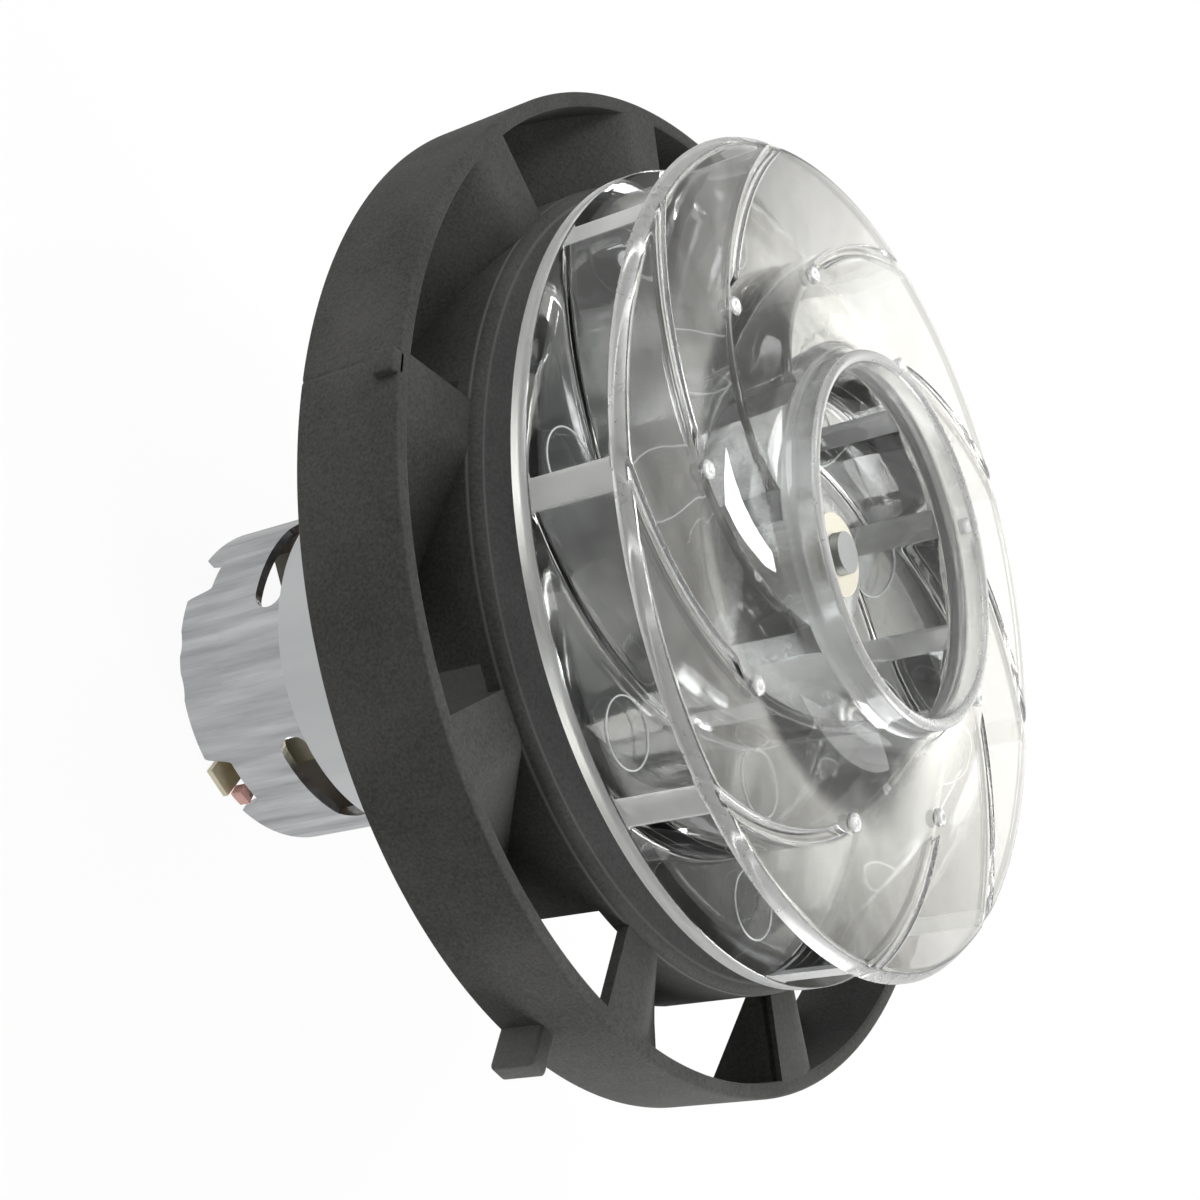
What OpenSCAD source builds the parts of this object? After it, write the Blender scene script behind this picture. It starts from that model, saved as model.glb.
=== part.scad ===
// Vacuum motor unit: a clear, shrouded impeller on the shaft of a brushed can
// motor, which hangs in a black carrier with a ring of guide vanes.
// The shaft runs along Z with the air inlet up. The origin is on the shaft's
// axis, in the plane of the carrier's rear edge. Angles count from +X.

/* [Carrier ring] */
// Outer diameter of the ring
ring_d = 120; // [116:0.5:130]
// Depth of the ring along the shaft
ring_depth = 12.8; // [11:0.1:16]
// Wall of the ring
ring_wall = 1.8; // [1.4:0.1:2.6]
// Place of the locating key around the ring
key_clock = -90; // [-100:0.5:-80]
// Height of the locating key above the ring
key_h = 4.6; // [3:0.1:7]
// Length of the locating key along the shaft
key_len = 5.5; // [4:0.1:8]
// Width of the locating key
key_w = 2.7; // [2:0.1:5]
// Corner cut at the key's outer end
key_cut = 0.7; // [0.2:0.1:0.9]
// Side of the square nub at the ring's front edge
nub_w = 2.6; // [1.6:0.1:4]
// Height of the nub above the ring
nub_h = 1; // [0.5:0.1:2]
// Place of the nub around the ring
nub_clock = 198.8; // [190:0.1:207]

/* [Carrier drum] */
// Outer diameter of the drum inside the ring
drum_d = 97; // [92:0.5:102]
// Wall of the drum
drum_wall = 1.8; // [1.4:0.1:2.6]
// Thickness of the disc that closes the drum's front
disc_t = 2.4; // [1.8:0.1:3.5]
// Rise of the disc's front face above the ring's front edge
disc_rise = 1; // [0.4:0.1:1.6]
// Rounding of the drum's front edge
drum_round = 1.2; // [0.5:0.1:1.6]
// Angle that each window in the drum's wall spans
window_angle = 25; // [18:0.1:27]
// Angle by which a window starts ahead of its vane
window_lead_angle = 3.5; // [1:0.1:5]
// Depth of a window's front edge behind the ring's front edge
window_top = 2.3; // [2:0.1:5]
// Thickness of the ribs behind the disc
rib_t = 1.6; // [1:0.1:2.5]
// Depth of the ribs behind the disc
rib_depth = 3; // [1.5:0.1:4.5]
// Wall of the collar round the motor's front end
collar_wall = 1.8; // [1.2:0.1:3]
// Depth of the collar behind the disc
collar_depth = 5; // [4:0.1:6]

/* [Guide vanes] */
// Pairs of guide vanes, with a window behind each vane and a gusset to a pair
vane_pairs = 5; // [4:1:6]
// Place of the first vane's leading edge
vane_clock = -90.7; // [-96:0.1:-84]
// Angle that a vane's flat front spans
vane_flat_angle = 6.9; // [5:0.1:9]
// Angle that a vane's ramp spans
vane_ramp_angle = 20.5; // [18:0.1:22]
// Thickness of a vane
vane_t = 1.3; // [1:0.1:2]
// Thickness of the gusset behind every second vane
gusset_t = 1.3; // [1:0.1:2]
// Depth of a gusset at the ring
gusset_ring = 9.7; // [7:0.1:10.5]
// Depth of a gusset at the drum
gusset_drum = 3.4; // [3:0.1:6]

/* [Motor] */
// Outer diameter of the motor's can
can_d = 42; // [40:0.1:44]
// Length of the can
can_len = 65.7; // [62:0.1:72]
// Wall of the can
can_wall = 1.2; // [0.8:0.1:1.5]
// Thickness of the can's front face
can_face_t = 1.4; // [1:0.1:2]
// Diameter of the bearing boss on the can's front
boss_d = 17.5; // [16:0.1:18.5]
// Height of the bearing boss
boss_h = 4.5; // [4:0.1:5]
// Wall of the steel flux sleeve
sleeve_wall = 1.15; // [0.8:0.05:1.6]
// Length of the flux sleeve
sleeve_len = 40; // [34:0.5:41]
// Distance of the sleeve's rear edge from the can's rear edge
sleeve_rear = 17.8; // [15:0.1:19]
// Angle that each air vent spans
vent_angle = 44; // [30:0.5:55]
// Width of an air vent along the shaft
vent_h = 4.8; // [3:0.1:5.5]
// Gap between a vent and the sleeve's edge
vent_gap = 0.7; // [0.5:0.1:1.5]
// Place of the first air vent
vent_clock = 176.7; // [170:0.1:184]
// Angle that each plain rear notch spans
notch_angle = 20.5; // [17:0.5:24]
// Angle that each notch for a terminal spans
terminal_notch_angle = 25; // [24:0.5:28]
// Depth of a rear notch
notch_depth = 3.8; // [3.4:0.1:4.5]
// Width that a notch's soft corner takes up
notch_slope = 1.4; // [1:0.1:1.8]
// Place of the notch for the first terminal
terminal_notch_clock = -101.4; // [-106:0.1:-98]
// Place of the plain notch beside it
side_notch_clock = 177.6; // [172:0.1:182]
// Depth of the flutes at the can's rear
flute_depth = 0.3; // [0.2:0.05:0.5]
// Length of the flutes
flute_len = 6.6; // [4:0.1:8]
// Radius of a flute's hollow
flute_r = 6.5; // [5:0.1:8]
// Place of the first flute
flute_clock = 204.2; // [200:0.1:208]
// Angle from the first flute to the second
flute_step_angle = 15.5; // [14:0.1:19]
// Thickness of a magnet
magnet_t = 3; // [2.4:0.1:3.6]
// Angle that each magnet spans
magnet_angle = 132; // [110:1:150]
// Reach of the magnets past each end of the armature's core
magnet_overhang = 3; // [1:0.1:4]
// Pitch circle of the motor's fixing screws
screw_pcd = 29; // [27:0.1:31]
// Thread diameter of the fixing screws
screw_d = 4; // [3:0.1:4.5]
// Head diameter of the fixing screws
screw_head_d = 7; // [6:0.1:8]
// Head height of the fixing screws
screw_head_h = 2.2; // [1.6:0.1:2.4]
// Reach of a screw past the can's front face
screw_reach = 0.6; // [0.2:0.1:0.9]

/* [Rear cap and brushes] */
// Thickness of the rear cap
cap_t = 3; // [2.5:0.1:3.4]
// Distance of the cap's rear face from the can's rear edge
cap_inset = 2.6; // [2.2:0.1:2.9]
// Diameter of the cap's bearing boss
cap_boss_d = 15; // [14:0.1:17]
// Angle that each of the cap's two air windows spans
cap_window_angle = 52; // [40:1:60]
// Rim of the cap outside its air windows
cap_rim = 2.6; // [2.2:0.1:3.2]
// Distance of the cap's boss from the can's rear edge
cap_boss_inset = 0.5; // [0.3:0.1:1]
// Wall of the cap's boss round the bearing
cap_boss_wall = 0.8; // [0.5:0.1:1]
// Outer diameter of both bearings
bearing_d = 12; // [11:0.1:13]
// Length of both bearings
bearing_len = 4; // [3:0.1:4.5]
// Width of a carbon brush across the shaft
brush_w = 4.6; // [3.5:0.1:5]
// Height of a carbon brush along the shaft
brush_h = 5; // [4:0.1:6]
// Length of a carbon brush
brush_len = 5; // [4:0.1:5.6]
// Thickness of a brush's leaf arm
arm_t = 0.5; // [0.4:0.05:0.8]
// Reach of a leaf arm past the brush's middle
arm_reach = 12.8; // [12:0.1:13.6]
// Angle by which a terminal sits off its notch's middle
terminal_offset_angle = 3.6; // [3.2:0.1:4]
// Width of a terminal
terminal_w = 4.2; // [3.6:0.1:4.4]
// Thickness of a terminal
terminal_t = 0.8; // [0.6:0.05:1]
// Reach of a terminal past the can's surface
terminal_reach = 0.9; // [0.4:0.1:1.1]
// Distance of a terminal's outer arm from the can's rear edge
terminal_inset = 0.3; // [0.2:0.1:0.6]
// Reach of the red insulator past the can's surface
insulator_reach = 0.4; // [0.2:0.1:0.8]
// Height of the red insulator
insulator_h = 1.6; // [1:0.1:1.8]

/* [Rotor] */
// Diameter of the shaft
shaft_d = 5; // [4:0.1:6]
// Reach of the shaft's front end past the impeller's bush
shaft_nose = 1.2; // [0.5:0.1:4]
// Air gap between the armature and the magnets
air_gap = 0.5; // [0.4:0.05:0.8]
// Poles of the armature
pole_count = 5; // [3:2:7]
// Diameter of the core's hub inside the windings
core_hub_d = 12; // [11:0.1:13]
// Width of a pole's stem
pole_stem = 5; // [4:0.1:6]
// Thickness of a pole's shoe
pole_shoe = 2.2; // [1.8:0.1:3]
// Slot between two pole shoes
pole_slot = 2.4; // [1.8:0.1:3]
// Thickness of the insulation between core and windings
liner_t = 1; // [0.6:0.1:1.4]
// Height of the winding's end turns
winding_h = 5.5; // [4:0.1:6]
// Gap between the windings and the pole shoes
winding_gap = 0.4; // [0.3:0.1:1]
// Gap between the windings and the can's front face
winding_front_gap = 1.5; // [1.2:0.1:2.5]
// Gap between the windings and the commutator
winding_rear_gap = 1.4; // [0.8:0.1:2]
// Diameter of the commutator
commutator_d = 11; // [10:0.1:12]
// Length of the commutator
commutator_len = 8.6; // [8:0.1:9]
// Gap between the rear cap and the commutator
commutator_gap = 4.2; // [3:0.1:5]
// Wall of the commutator's segments
segment_t = 1.5; // [1:0.1:1.8]
// Slot between two commutator segments
segment_slot = 0.6; // [0.4:0.1:1]
// Thickness of the thrust washers
washer_t = 0.8; // [0.5:0.1:1.2]

/* [Impeller] */
// Diameter of the impeller's back plate
back_d = 96.8; // [92:0.1:100]
// Thickness of the back plate
back_t = 2; // [1.5:0.1:3]
// Gap between the carrier's disc and the back plate
back_gap = 4.1; // [3.6:0.1:6]
// Diameter of the shroud's rim
shroud_d = 98; // [94:0.1:102]
// Thickness of the shroud
shroud_t = 1.5; // [1.2:0.1:2]
// Cone of the shroud's rim, rear edge to front edge
rim_slope = 0.9; // [0.3:0.1:1.2]
// Height of the air passage at the rim
passage_h = 10.1; // [8:0.1:12]
// Diameter at which the shroud starts to rise to the eye
neck_d = 68; // [62:0.5:74]
// Rise of the shroud's curve to the eye
neck_rise = 4.4; // [3.5:0.1:5.5]
// Bore of the inlet eye
eye_d = 41.2; // [38:0.1:43]
// Wall of the collar round the eye
eye_wall = 1.4; // [1:0.1:2]
// Height of the eye's front edge above the shroud's flat
eye_h = 6.8; // [6:0.1:9]
// Number of blades
blade_count = 9; // [7:1:11]
// Thickness of a blade
blade_t = 1.5; // [1:0.1:1.8]
// Radius of a blade's curve
blade_arc = 39.3; // [37:0.1:42]
// Distance of that curve's centre from the shaft
blade_centre = 22.1; // [20:0.1:24]
// Diameter at which the blades start
blade_lead_d = 42; // [41.4:0.1:46]
// Distance of the blade tips from the back plate's edge
tip_inset = 0.3; // [0.2:0.1:1]
// Place of the first blade's curve centre
blade_clock = 37.9; // [30:0.1:45]
// Width of the groove over each blade
groove_w = 1.3; // [0.8:0.1:1.6]
// Depth of the groove
groove_depth = 0.5; // [0.3:0.05:0.8]
// Diameter at which the grooves end
groove_lead_d = 70.6; // [69:0.1:76]
// Pitch circle of the stakes that hold the shroud
stake_pcd = 66; // [60:0.1:67]
// Diameter of a stake
stake_d = 1.6; // [1.2:0.1:2]
// Diameter of a stake's melted head
stake_head_d = 2.6; // [2.2:0.1:3]
// Height of a stake's head
stake_head_h = 0.6; // [0.4:0.1:1]
// Outer diameter of the brass bush
bush_d = 10; // [9:0.1:11]
// Diameter of the hub round the bush
hub_d = 18; // [15:0.1:20]
// Draft of the hub, taken off its radius
hub_draft = 1; // [0.4:0.1:1.5]
// Height of the hub above the back plate
hub_h = 8; // [6:0.1:10]
// Height of the bush above the hub
bush_rise = 1.4; // [0.6:0.1:3]

/* [Fits] */
// Clearance between fixed pieces that fit together
fit = 0.05; // [0.03:0.01:0.1]
// Clearance of the shaft in its bearings
running_fit = 0.03; // [0.02:0.01:0.06]
// Clearance between turning and fixed pieces
clearance = 0.3; // [0.3:0.05:0.5]

/* [Hidden] */

$fn = 96;
// Overlap that makes a cut pass right through
cut = 1;

// Carrier
ring_r = ring_d / 2;
ring_inner = ring_r - ring_wall;
drum_r = drum_d / 2;
drum_inner = drum_r - drum_wall;
disc_front = ring_depth + disc_rise;
motor_front = disc_front - disc_t;
vane_pitch = 180 / vane_pairs;
vane_middle = (drum_r + ring_inner) / 2;
vane_span = 2 * vane_middle * sin(vane_ramp_angle / 2);
vane_slope = atan((ring_depth - vane_t) / vane_span);
boss_hole_r = boss_d / 2 + clearance;
collar_inner = can_d / 2 + fit;

// Motor
can_r = can_d / 2;
can_inner = can_r - can_wall;
can_rear = motor_front - can_len;
face_rear = motor_front - can_face_t;
boss_top = motor_front + boss_h;
bearing_r = bearing_d / 2;
front_bearing_top = face_rear + bearing_len;
sleeve_bottom = can_rear + sleeve_rear;
sleeve_inner = can_r + fit;
vent_top = sleeve_bottom - vent_gap;
vent_bottom = vent_top - vent_h;
vent_steps = 12;
notch_steps = 8;
magnet_outer = can_inner - fit;
magnet_inner = magnet_outer - magnet_t;
clip_angle = (180 - magnet_angle) - 2 * asin(fit / magnet_inner);
clip_lip_angle = clip_angle / 10;

// Rear cap and brushes
cap_rear = can_rear + cap_inset;
cap_front = cap_rear + cap_t;
cap_r = can_inner - fit;
cap_boss_rear = can_rear + cap_boss_inset;
terminal_clock = terminal_notch_clock - terminal_offset_angle;
rear_bearing_bottom = cap_boss_rear + cap_boss_wall;
rear_bearing_top = rear_bearing_bottom + bearing_len;
shaft_r = shaft_d / 2;
shaft_bottom = rear_bearing_bottom + clearance;
commutator_r = commutator_d / 2;
commutator_bottom = cap_front + commutator_gap;
commutator_top = commutator_bottom + commutator_len;
brush_inner = commutator_r + clearance;
brush_outer = brush_inner + brush_len;
brush_bottom = commutator_bottom + (commutator_len - brush_h) / 2;
arm_end_x = brush_outer + terminal_t / 2;
terminal_r = norm([arm_end_x, arm_reach]);
terminal_turn = atan2(arm_reach, arm_end_x);
terminal_tip = can_r + terminal_reach;
terminal_foot = can_rear + terminal_inset;

// Rotor
armature_r = magnet_inner - air_gap;
core_hub_r = core_hub_d / 2;
winding_inner = core_hub_r + fit;
winding_outer = armature_r - pole_shoe - winding_gap;
winding_top = face_rear - winding_front_gap;
winding_bottom = commutator_top + winding_rear_gap;
core_top = winding_top - winding_h - liner_t;
core_bottom = winding_bottom + winding_h + liner_t;
magnet_top = core_top + magnet_overhang;
magnet_bottom = core_bottom - magnet_overhang;
front_washer_top = face_rear - clearance;
rear_washer_bottom = rear_bearing_top + clearance;

// Impeller
back_rear = disc_front + back_gap;
back_front = back_rear + back_t;
shroud_rear = back_front + passage_h;
shroud_front = shroud_rear + shroud_t;
eye_front = shroud_front + eye_h;
eye_r = eye_d / 2;
eye_outer = eye_r + eye_wall;
neck_r = neck_d / 2;
neck_steps = 14;
bush_r = bush_d / 2;
bush_bottom = boss_top + clearance;
hub_top = back_front + hub_h;
bush_top = hub_top + bush_rise;
shaft_top = bush_top + shaft_nose;
back_r = back_d / 2;
blade_tip = back_r - tip_inset;
blade_lead = blade_lead_d / 2;
stake_r = stake_pcd / 2;

// Points of a quarter ellipse that leaves the flat at neck_r, height z, and
// climbs by rise until it stands upright at end_r
function neck_curve(end_r, z, rise) = [
    for (i = [0 : neck_steps])
        let (turn = 90 * i / neck_steps)
            [neck_r - (neck_r - end_r) * sin(turn), z + rise * (1 - cos(turn))]
];

// Angle of a blade's centre line at radius r, from its curve's centre
function blade_angle(r) =
    acos((r * r + blade_centre * blade_centre - blade_arc * blade_arc) / (2 * r * blade_centre));

// Ring of rectangular section, or a part of one that starts at angle from
module band(inner, outer, bottom, top, from = 0, angle = 360) {
    rotate([0, 0, from])
        rotate_extrude(angle = angle)
            translate([inner, bottom])
                square([outer - inner, top - bottom]);
}

// Copies a piece around the shaft
module around(count, from = 0) {
    for (i = [0 : count - 1])
        rotate([0, 0, from + i * 360 / count])
            children();
}

// One vane: a flat front between drum and ring, then a ramp to the rear edge
module vane() {
    inner = drum_r - drum_wall / 2;
    outer = ring_inner + ring_wall / 2;
    band(inner, outer, ring_depth - vane_t, ring_depth, 0, vane_flat_angle);
    intersection() {
        band(inner, outer, vane_t / 4, ring_depth - vane_t / 4,
            vane_flat_angle / 2, vane_ramp_angle + vane_flat_angle / 2);
        ramp_block(-vane_t / 2, vane_t / 2);
    }
}

// Block that leans with a vane's ramp, between two distances from its middle plane
module ramp_block(rear, front) {
    rotate([0, 0, vane_flat_angle + vane_ramp_angle / 2])
        translate([0, 0, ring_depth / 2])
            rotate([-vane_slope, 0, 0])
                translate([0, -ring_d / 2, rear])
                    cube([ring_d, ring_d, front - rear]);
}

// Window in the drum's wall: it starts ahead of a vane and stays behind its ramp
module window() {
    difference() {
        band(drum_inner - cut, drum_r + cut, -cut, ring_depth - window_top, -window_lead_angle, window_angle);
        ramp_block(0, ring_d);
    }
}

// Gusset under a vane's leading edge, deep at the ring and shallow at the drum
module gusset() {
    inner = drum_r - drum_wall / 2;
    outer = ring_inner + ring_wall / 2;
    top = ring_depth - vane_t / 2;
    rotate_extrude(angle = gusset_t / vane_middle * 180 / PI)
        polygon([
            [inner, top],
            [outer, top],
            [outer, ring_depth - gusset_ring],
            [ring_inner, ring_depth - gusset_ring],
            [drum_r, ring_depth - gusset_drum],
            [inner, ring_depth - gusset_drum]
        ]);
}

module locating_key() {
    half = key_w / 2;
    root = ring_inner + ring_wall / 2;
    tip = ring_r + key_h;
    rotate([0, 0, key_clock])
        linear_extrude(key_len)
            polygon([
                [root, -half], [tip - key_cut, -half], [tip, -half + key_cut],
                [tip, half - key_cut], [tip - key_cut, half], [root, half]
            ]);
}

module carrier() {
    color("#2b2c2e")
    difference() {
        union() {
            band(ring_inner, ring_r, 0, ring_depth);
            locating_key();
            rotate([0, 0, nub_clock])
                translate([ring_inner + ring_wall / 2, -nub_w / 2, ring_depth - nub_w])
                    cube([ring_wall / 2 + nub_h, nub_w, nub_w]);
            drum_shell();
            for (i = [0 : vane_pairs - 1]) {
                first = vane_clock + 2 * i * vane_pitch;
                rotate([0, 0, first]) vane();
                rotate([0, 0, first + vane_pitch]) vane();
                rotate([0, 0, first + vane_pitch]) gusset();
            }
        }
        around(2, terminal_clock)
            translate([screw_pcd / 2, 0, motor_front - cut])
                cylinder(d = screw_d + 2 * fit, h = disc_t + 2 * cut);
    }
}

// Drum with its closed front, windows, motor collar and ribs
module drum_shell() {
    rib_inner = collar_inner + collar_wall / 2;
    rib_outer = drum_inner + drum_wall / 2;
    difference() {
        rotate_extrude()
            polygon([
                [boss_hole_r, motor_front], [drum_inner, motor_front], [drum_inner, 0], [drum_r, 0],
                [drum_r, disc_front - drum_round],
                [drum_r - drum_round * (1 - cos(45)), disc_front - drum_round * (1 - sin(45))],
                [drum_r - drum_round, disc_front], [boss_hole_r, disc_front]
            ]);
        around(2 * vane_pairs, vane_clock)
            window();
    }
    band(collar_inner, collar_inner + collar_wall, motor_front - collar_depth, motor_front + disc_t / 2);
    around(2 * vane_pairs, vane_clock + vane_pitch / 2)
        translate([rib_inner, -rib_t / 2, motor_front - rib_depth])
            cube([rib_outer - rib_inner, rib_t, rib_depth + disc_t / 2]);
}

// One air vent with round ends, cut through the can's wall
module vent() {
    straight = 2 * can_r * sin(vent_angle / 2) - vent_h;
    translate([can_inner - can_wall, 0, (vent_bottom + vent_top) / 2])
        rotate([90, 0, 90])
            linear_extrude(3 * can_wall)
                polygon([
                    for (side = [1, -1], i = [0 : vent_steps])
                        let (turn = 90 - side * 90 + 180 * i / vent_steps - 90)
                            [side * straight / 2 + vent_h / 2 * cos(turn), vent_h / 2 * sin(turn)]
                ]);
}

// One rear notch whose sides run out softly, cut through the can's wall
module notch(angle) {
    rim = can_r * sin(angle / 2);
    translate([can_inner - can_wall, 0, can_rear])
        rotate([90, 0, 90])
            linear_extrude(3 * can_wall)
                polygon(concat(
                    [[rim + notch_slope, -cut]],
                    [for (i = [1 : notch_steps]) notch_side(rim, i / notch_steps)],
                    [for (i = [notch_steps : -1 : 1]) mirrored(notch_side(rim, i / notch_steps))],
                    [[-rim - notch_slope, -cut]]
                ));
}

// Half width and height of a notch's side, from the rim at 0 to its floor at 1
function notch_side(rim, along) = [rim - notch_slope * along, notch_depth * (1 - cos(180 * along)) / 2];

function mirrored(point) = [-point[0], point[1]];

module motor_can() {
    color("#b9bbbd")
    difference() {
        rotate_extrude()
            polygon([
                [shaft_r + clearance, boss_top], [boss_d / 2, boss_top], [boss_d / 2, motor_front],
                [can_r, motor_front], [can_r, can_rear], [can_inner, can_rear],
                [can_inner, face_rear], [bearing_r + fit, face_rear],
                [bearing_r + fit, front_bearing_top], [shaft_r + clearance, front_bearing_top]
            ]);
        around(4, vent_clock) vent();
        around(2, terminal_notch_clock) notch(terminal_notch_angle);
        around(2, side_notch_clock) notch(notch_angle);
        for (clock = [flute_clock, flute_clock + flute_step_angle])
            around(2, clock)
                translate([can_r - flute_depth + flute_r, 0, can_rear - cut])
                    cylinder(r = flute_r, h = flute_len + cut);
        around(2, terminal_clock)
            translate([screw_pcd / 2, 0, face_rear - cut])
                cylinder(d = screw_d + 2 * fit, h = can_face_t + 2 * cut);
    }
}

module flux_sleeve() {
    color("#a9abad")
        band(sleeve_inner, sleeve_inner + sleeve_wall, sleeve_bottom, sleeve_bottom + sleeve_len);
}

module magnets() {
    color("#3a3b3d")
        around(2, vent_clock - magnet_angle / 2)
            band(magnet_inner, magnet_outer, magnet_bottom, magnet_top, 0, magnet_angle);
}

module magnet_clips() {
    color("#8f9294")
        around(2, vent_clock + 90 - clip_angle / 2)
            difference() {
                band(magnet_inner, magnet_outer, magnet_bottom, magnet_top, 0, clip_angle);
                band(magnet_inner + arm_t, magnet_outer + cut, magnet_bottom - cut, magnet_top + cut,
                    clip_lip_angle, clip_angle - 2 * clip_lip_angle);
            }
}

module bearing(bottom) {
    color("#b08d57")
        band(shaft_r + running_fit, bearing_r, bottom, bottom + bearing_len);
}

module front_bearing() {
    bearing(face_rear);
}

module rear_bearing() {
    bearing(rear_bearing_bottom);
}

module end_cap() {
    slot_w = terminal_w + 2 * fit;
    slot_t = terminal_t + 2 * fit;
    color("#d9d6cc")
    difference() {
        rotate_extrude()
            polygon([
                [0, cap_boss_rear], [cap_boss_d / 2, cap_boss_rear], [cap_boss_d / 2, cap_rear],
                [cap_r, cap_rear], [cap_r, cap_front], [cap_boss_d / 2, cap_front],
                [bearing_r + fit + cap_boss_wall, rear_bearing_top], [bearing_r + fit, rear_bearing_top],
                [bearing_r + fit, rear_bearing_bottom], [0, rear_bearing_bottom]
            ]);
        around(2, terminal_clock)
            translate([terminal_r - slot_t / 2, -slot_w / 2, cap_rear - cut])
                cube([slot_t, slot_w, cap_t + 2 * cut]);
        around(2, terminal_clock + 90 - cap_window_angle / 2)
            band(cap_boss_d / 2 + cap_rim, cap_r - cap_rim, cap_rear - cut, cap_front + cut,
                0, cap_window_angle);
    }
}

module carbon_brushes() {
    color("#2f2f31")
        around(2, terminal_clock - terminal_turn)
            intersection() {
                translate([0, -brush_w / 2, brush_bottom])
                    cube([brush_outer, brush_w, brush_h]);
                band(brush_inner, can_inner, brush_bottom, brush_bottom + brush_h, -90, 180);
            }
}

module brush_arms() {
    color("#b87333")
        around(2, terminal_clock - terminal_turn)
            translate([brush_outer, -brush_w / 2, brush_bottom])
                cube([arm_t, arm_reach + brush_w / 2 - terminal_w / 2, brush_h]);
}

module terminals() {
    foot = terminal_foot;
    color("#c9a24b")
        around(2, terminal_clock) {
            translate([terminal_r - terminal_t / 2, -terminal_w / 2, foot])
                cube([terminal_t, terminal_w, brush_bottom + brush_h - foot]);
            translate([terminal_r - terminal_t / 2, -terminal_w / 2, foot])
                cube([terminal_tip - terminal_r + terminal_t / 2, terminal_w, terminal_t]);
        }
}

// Insulator between the first terminal and the far side of its notch
module terminal_insulator() {
    near = asin((terminal_w / 2 + fit) / can_inner) - terminal_offset_angle;
    far = asin((can_r * sin(terminal_notch_angle / 2) - notch_slope) / can_r) - asin(fit / can_inner);
    color("#b3342c")
        band(can_inner + fit, can_r + insulator_reach, cap_rear - insulator_h, cap_rear,
            terminal_notch_clock + near, far - near);
}

module motor_screws() {
    color("#8c8f92")
        around(2, terminal_clock)
            translate([screw_pcd / 2, 0, 0])
                difference() {
                    union() {
                        translate([0, 0, face_rear - screw_reach])
                            cylinder(d = screw_d, h = can_face_t + disc_t + screw_reach + screw_head_h / 2);
                        translate([0, 0, disc_front])
                            cylinder(d = screw_head_d, h = screw_head_h);
                    }
                    for (turn = [0, 90])
                        rotate([0, 0, turn])
                            translate([-screw_d / 2, -screw_d / 10, disc_front + screw_head_h / 2])
                                cube([screw_d, screw_d / 5, screw_head_h]);
                }
}

module shaft() {
    color("#c4c6c8")
        translate([0, 0, shaft_bottom])
            cylinder(r = shaft_r, h = shaft_top - shaft_bottom);
}

// Outline of the laminated core: a hub, straight stems and curved shoes
module core_outline() {
    difference() {
        union() {
            circle(r = core_hub_r);
            intersection() {
                circle(r = armature_r);
                for (i = [0 : pole_count - 1])
                    rotate(i * 360 / pole_count)
                        translate([0, -pole_stem / 2])
                            square([armature_r, pole_stem]);
            }
            difference() {
                circle(r = armature_r);
                circle(r = armature_r - pole_shoe);
                for (i = [0 : pole_count - 1])
                    rotate((i + 0.5) * 360 / pole_count)
                        translate([0, -pole_slot / 2])
                            square([armature_r + cut, pole_slot]);
            }
        }
        circle(r = shaft_r + fit);
    }
}

module armature_core() {
    color("#6d7073")
        translate([0, 0, core_bottom])
            linear_extrude(core_top - core_bottom)
                core_outline();
}

// Copper bundles: one on each side of every stem, joined by the end turns
module armature_windings() {
    color("#b5651d")
    union() {
        difference() {
            band(winding_inner, winding_outer, winding_bottom + winding_h / 2, winding_top - winding_h / 2);
            around(pole_count)
                translate([0, -pole_stem / 2 - liner_t, winding_bottom])
                    cube([armature_r, pole_stem + 2 * liner_t, winding_top - winding_bottom]);
            around(pole_count, 180 / pole_count)
                translate([0, -liner_t / 2, winding_bottom])
                    cube([armature_r, liner_t, winding_top - winding_bottom]);
        }
        end_turns(winding_top - winding_h);
        end_turns(winding_bottom);
    }
}

// One ring of end turns with its outer corners taken off
module end_turns(bottom) {
    corner = winding_h / 3;
    rotate_extrude()
        polygon([
            [winding_inner, bottom], [winding_outer - corner, bottom],
            [winding_outer, bottom + corner], [winding_outer, bottom + winding_h - corner],
            [winding_outer - corner, bottom + winding_h], [winding_inner, bottom + winding_h]
        ]);
}

module armature_insulators() {
    color("#3f6b4f")
        for (bottom = [core_top, core_bottom - liner_t])
            translate([0, 0, bottom])
                linear_extrude(liner_t)
                    intersection() {
                        core_outline();
                        difference() {
                            circle(r = winding_outer);
                            circle(r = core_hub_r - liner_t);
                        }
                    }
}

module commutator() {
    color("#b87340")
        difference() {
            band(commutator_r - segment_t, commutator_r, commutator_bottom, commutator_top);
            around(pole_count)
                translate([0, -segment_slot / 2, commutator_bottom - cut])
                    cube([commutator_d, segment_slot, commutator_len + 2 * cut]);
        }
}

module commutator_hub() {
    color("#5a3a24")
        band(shaft_r + fit, commutator_r - segment_t - fit, commutator_bottom, winding_bottom);
}

module thrust_washers() {
    color("#d8d2b8") {
        band(shaft_r + fit, shaft_d, front_washer_top - washer_t, front_washer_top);
        band(shaft_r + fit, shaft_d, rear_washer_bottom, rear_washer_bottom + washer_t);
    }
}

module impeller_bush() {
    color("#cbb98a")
        band(shaft_r + fit, bush_r, bush_bottom, bush_top);
}

// Outline of one blade's band along its curve, between two radii
module blade_outline(width, inner, outer) {
    reach = blade_arc + blade_centre;
    intersection() {
        translate([blade_centre, 0])
            difference() {
                circle(r = blade_arc + width / 2);
                circle(r = blade_arc - width / 2);
            }
        difference() {
            circle(r = outer);
            circle(r = inner);
        }
        translate([-reach, 0])
            square([2 * reach, reach]);
    }
}

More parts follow.
